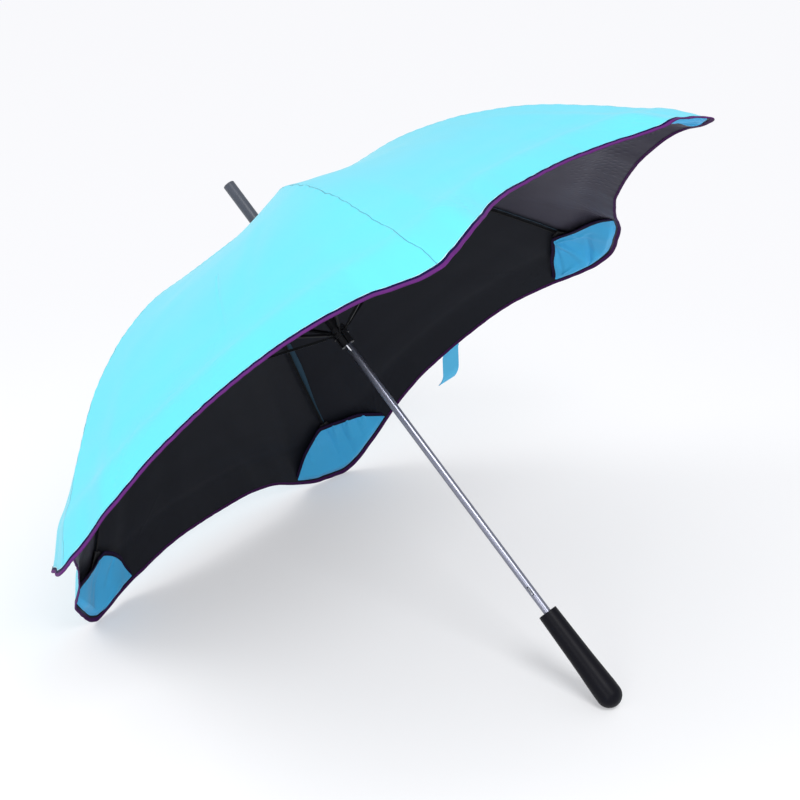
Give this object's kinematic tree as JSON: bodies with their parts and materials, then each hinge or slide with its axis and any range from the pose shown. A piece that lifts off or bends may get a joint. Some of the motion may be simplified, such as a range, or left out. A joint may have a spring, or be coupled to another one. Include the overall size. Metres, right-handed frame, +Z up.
{
  "type": "umbrella",
  "caption": "Open straight umbrella lying on its side, with a scalloped cloth canopy on hinged ribs and stretchers, pocketed round tips, a tube shaft, a sliding runner and a flared black grip.",
  "frame": {"origin": "centre of the box that holds the open umbrella, on the floor that it lies on", "axes": "+Z up, +Y across the canopy's full width, +X towards the grip, with the shaft in the XZ plane and the canopy at the -X side"},
  "size_m": [0.7258, 1.1016, 0.7215],
  "materials": {
    "shaft_steel": "polished",
    "grip_plastic": "satin",
    "ferrule_plastic": "satin",
    "fitting_plastic": "satin",
    "wire_steel": "satin",
    "catch_steel": "satin",
    "strap_cloth": "matte",
    "rib_rod": "satin",
    "stretcher_steel": "satin",
    "spreader_plastic": "matte",
    "pocket_cloth": "matte",
    "canopy_cloth": "matte",
    "binding_tape": "matte"
  },
  "bodies": {
    "stick": {"shaft_tube": "shaft_steel", "handle_grip": "grip_plastic", "ferrule": "ferrule_plastic", "canopy_cap": "fitting_plastic", "crown": "fitting_plastic", "crown_wire": "wire_steel", "runner_stop": "shaft_steel"},
    "runner": {"runner_body": "fitting_plastic", "runner_wire": "wire_steel"},
    "catch_upper": {"catch_upper": "catch_steel"},
    "catch_lower": {"catch_lower": "catch_steel"},
    "rib_A": {"rib_A": "rib_rod", "spreader_A": "spreader_plastic", "pocket_A": "pocket_cloth", "canopy_A": "canopy_cloth", "binding_A": "binding_tape"},
    "stretcher_A": {"stretcher_A": "stretcher_steel"},
    "rib_B": {"rib_B": "rib_rod", "spreader_B": "spreader_plastic", "pocket_B": "pocket_cloth", "canopy_B": "canopy_cloth", "binding_B": "binding_tape"},
    "stretcher_B": {"stretcher_B": "stretcher_steel"},
    "rib_C": {"rib_C": "rib_rod", "spreader_C": "spreader_plastic", "pocket_C": "pocket_cloth", "canopy_C": "canopy_cloth", "binding_C": "binding_tape"},
    "stretcher_C": {"stretcher_C": "stretcher_steel"},
    "rib_D": {"rib_D": "rib_rod", "spreader_D": "spreader_plastic", "pocket_D": "pocket_cloth", "canopy_D": "canopy_cloth", "binding_D": "binding_tape"},
    "stretcher_D": {"stretcher_D": "stretcher_steel"},
    "rib_E": {"rib_E": "rib_rod", "spreader_E": "spreader_plastic", "pocket_E": "pocket_cloth", "canopy_E": "canopy_cloth", "binding_E": "binding_tape", "closing_strap": "strap_cloth"},
    "stretcher_E": {"stretcher_E": "stretcher_steel"},
    "rib_F": {"rib_F": "rib_rod", "spreader_F": "spreader_plastic", "pocket_F": "pocket_cloth", "canopy_F": "canopy_cloth", "binding_F": "binding_tape"},
    "stretcher_F": {"stretcher_F": "stretcher_steel"}
  },
  "joints": [
    {"name": "runner_slide", "type": "slide", "parent": "stick", "child": "runner", "axis": [0.732, 0, -0.6813], "range_m": [0, 0.40046]},
    {"name": "rib_hinge_A", "type": "hinge", "parent": "stick", "child": "rib_A", "pos_m": [-0.21204, -0.009, 0.53636], "axis": [0.6813, 0, 0.732], "range_deg": [0, 62.15], "deforming": ["canopy_A", "binding_A", "pocket_A", "spreader_A"]},
    {"name": "stretcher_hinge_A", "type": "hinge", "parent": "rib_A", "child": "stretcher_A", "pos_m": [-0.16342, -0.29284, 0.4911], "axis": [0.6813, 0, 0.732], "range_deg": [-116.82, 0]},
    {"name": "rib_hinge_B", "type": "hinge", "parent": "stick", "child": "rib_B", "pos_m": [-0.20673, -0.0045, 0.54206], "axis": [0.3407, 0.866, 0.366], "range_deg": [0, 62.15], "deforming": ["canopy_B", "binding_B", "pocket_B", "spreader_B"]},
    {"name": "stretcher_hinge_B", "type": "hinge", "parent": "rib_B", "child": "stretcher_B", "pos_m": [0.00937, -0.14642, 0.67673], "axis": [0.3407, 0.866, 0.366], "range_deg": [-116.82, 0]},
    {"name": "rib_hinge_C", "type": "hinge", "parent": "stick", "child": "rib_C", "pos_m": [-0.20673, 0.0045, 0.54206], "axis": [-0.3407, 0.866, -0.366], "range_deg": [0, 62.15], "deforming": ["canopy_C", "binding_C", "pocket_C", "spreader_C"]},
    {"name": "stretcher_hinge_C", "type": "hinge", "parent": "rib_C", "child": "stretcher_C", "pos_m": [0.00937, 0.14642, 0.67673], "axis": [-0.3407, 0.866, -0.366], "range_deg": [-116.82, 0]},
    {"name": "rib_hinge_D", "type": "hinge", "parent": "stick", "child": "rib_D", "pos_m": [-0.21204, 0.009, 0.53636], "axis": [-0.6813, 0, -0.732], "range_deg": [0, 62.15], "deforming": ["canopy_D", "binding_D", "pocket_D", "spreader_D"]},
    {"name": "stretcher_hinge_D", "type": "hinge", "parent": "rib_D", "child": "stretcher_D", "pos_m": [-0.16342, 0.29284, 0.4911], "axis": [-0.6813, 0, -0.732], "range_deg": [-116.82, 0]},
    {"name": "rib_hinge_E", "type": "hinge", "parent": "stick", "child": "rib_E", "pos_m": [-0.21735, 0.0045, 0.53065], "axis": [-0.3407, -0.866, -0.366], "range_deg": [0, 62.15], "deforming": ["canopy_E", "binding_E", "pocket_E", "spreader_E", "closing_strap"]},
    {"name": "stretcher_hinge_E", "type": "hinge", "parent": "rib_E", "child": "stretcher_E", "pos_m": [-0.33621, 0.14642, 0.30547], "axis": [-0.3407, -0.866, -0.366], "range_deg": [-116.82, 0]},
    {"name": "rib_hinge_F", "type": "hinge", "parent": "stick", "child": "rib_F", "pos_m": [-0.21735, -0.0045, 0.53065], "axis": [0.3407, -0.866, 0.366], "range_deg": [0, 62.15], "deforming": ["canopy_F", "binding_F", "pocket_F", "spreader_F"]},
    {"name": "stretcher_hinge_F", "type": "hinge", "parent": "rib_F", "child": "stretcher_F", "pos_m": [-0.33621, -0.14642, 0.30547], "axis": [0.3407, -0.866, 0.366], "range_deg": [-116.82, 0]},
    {"name": "catch_upper_press", "type": "slide", "parent": "stick", "child": "catch_upper", "axis": [0.3407, -0.866, 0.366], "range_m": [-0.0018, 0], "stiffness_N_per_m": 400},
    {"name": "catch_lower_press", "type": "slide", "parent": "stick", "child": "catch_lower", "axis": [0.3407, -0.866, 0.366], "range_m": [-0.0018, 0], "stiffness_N_per_m": 400}
  ],
  "couplings": [
    {"joint": "rib_hinge_A", "follows": "runner_slide", "rad_per_m": 2.7088},
    {"joint": "stretcher_hinge_A", "follows": "runner_slide", "rad_per_m": -5.0914},
    {"joint": "rib_hinge_B", "follows": "runner_slide", "rad_per_m": 2.7088},
    {"joint": "stretcher_hinge_B", "follows": "runner_slide", "rad_per_m": -5.0914},
    {"joint": "rib_hinge_C", "follows": "runner_slide", "rad_per_m": 2.7088},
    {"joint": "stretcher_hinge_C", "follows": "runner_slide", "rad_per_m": -5.0914},
    {"joint": "rib_hinge_D", "follows": "runner_slide", "rad_per_m": 2.7088},
    {"joint": "stretcher_hinge_D", "follows": "runner_slide", "rad_per_m": -5.0914},
    {"joint": "rib_hinge_E", "follows": "runner_slide", "rad_per_m": 2.7088},
    {"joint": "stretcher_hinge_E", "follows": "runner_slide", "rad_per_m": -5.0914},
    {"joint": "rib_hinge_F", "follows": "runner_slide", "rad_per_m": 2.7088},
    {"joint": "stretcher_hinge_F", "follows": "runner_slide", "rad_per_m": -5.0914}
  ]
}
